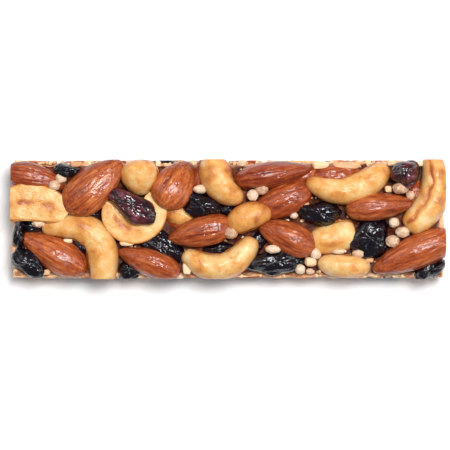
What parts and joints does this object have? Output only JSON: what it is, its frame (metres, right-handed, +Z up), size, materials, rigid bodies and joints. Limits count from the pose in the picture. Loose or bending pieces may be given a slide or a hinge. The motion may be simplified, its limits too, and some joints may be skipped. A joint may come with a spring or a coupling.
{
  "type": "granola bar",
  "caption": "Fruit-and-nut snack bar: whole almonds, cashews and dried fruit pressed into a syrup-bound base with puffed crisps, cut square at both ends.",
  "frame": {"origin": "middle of the bar's underside, on the surface it rests on", "axes": "+X along the bar to the end that is on the picture's right, +Y across the bar to the edge that is at the picture's top, +Z up"},
  "size_m": [0.125, 0.0345, 0.0157],
  "materials": {
    "almond_skin": "ribbed brown almond skin with a thin syrup glaze",
    "cashew_flesh": "smooth roasted cashew with a thin syrup glaze",
    "fruit_skin": "wrinkled near-black dried fruit, glossy with syrup",
    "syrup_base": "syrup-bound chopped nuts and puffed crisps"
  },
  "bodies": {
    "root": {"almond_01": "almond_skin", "almond_02": "almond_skin", "almond_03": "almond_skin", "almond_04": "almond_skin", "almond_05": "almond_skin", "almond_06": "almond_skin", "almond_07": "almond_skin", "almond_08": "almond_skin", "almond_09": "almond_skin", "almond_10": "almond_skin", "almond_11": "almond_skin", "almond_12": "almond_skin", "almond_13": "almond_skin", "almond_14": "almond_skin", "almond_15": "almond_skin", "almond_16": "almond_skin", "base": "syrup_base", "cashew_01": "cashew_flesh", "cashew_02": "cashew_flesh", "cashew_03": "cashew_flesh", "cashew_04": "cashew_flesh", "cashew_05": "cashew_flesh", "cashew_06": "cashew_flesh", "cashew_07": "cashew_flesh", "cashew_08": "cashew_flesh", "cashew_09": "cashew_flesh", "cashew_10": "cashew_flesh", "cashew_11": "cashew_flesh", "cashew_12": "cashew_flesh", "dried_fruit_01": "fruit_skin", "dried_fruit_02": "fruit_skin", "dried_fruit_03": "fruit_skin", "dried_fruit_04": "fruit_skin", "dried_fruit_05": "fruit_skin", "dried_fruit_06": "fruit_skin", "dried_fruit_07": "fruit_skin", "dried_fruit_08": "fruit_skin", "dried_fruit_09": "fruit_skin", "dried_fruit_10": "fruit_skin", "dried_fruit_11": "fruit_skin", "dried_fruit_12": "fruit_skin", "dried_fruit_13": "fruit_skin", "dried_fruit_14": "fruit_skin", "dried_fruit_15": "fruit_skin", "dried_fruit_16": "fruit_skin", "dried_fruit_17": "fruit_skin", "dried_fruit_18": "fruit_skin"}
  },
  "joints": []
}
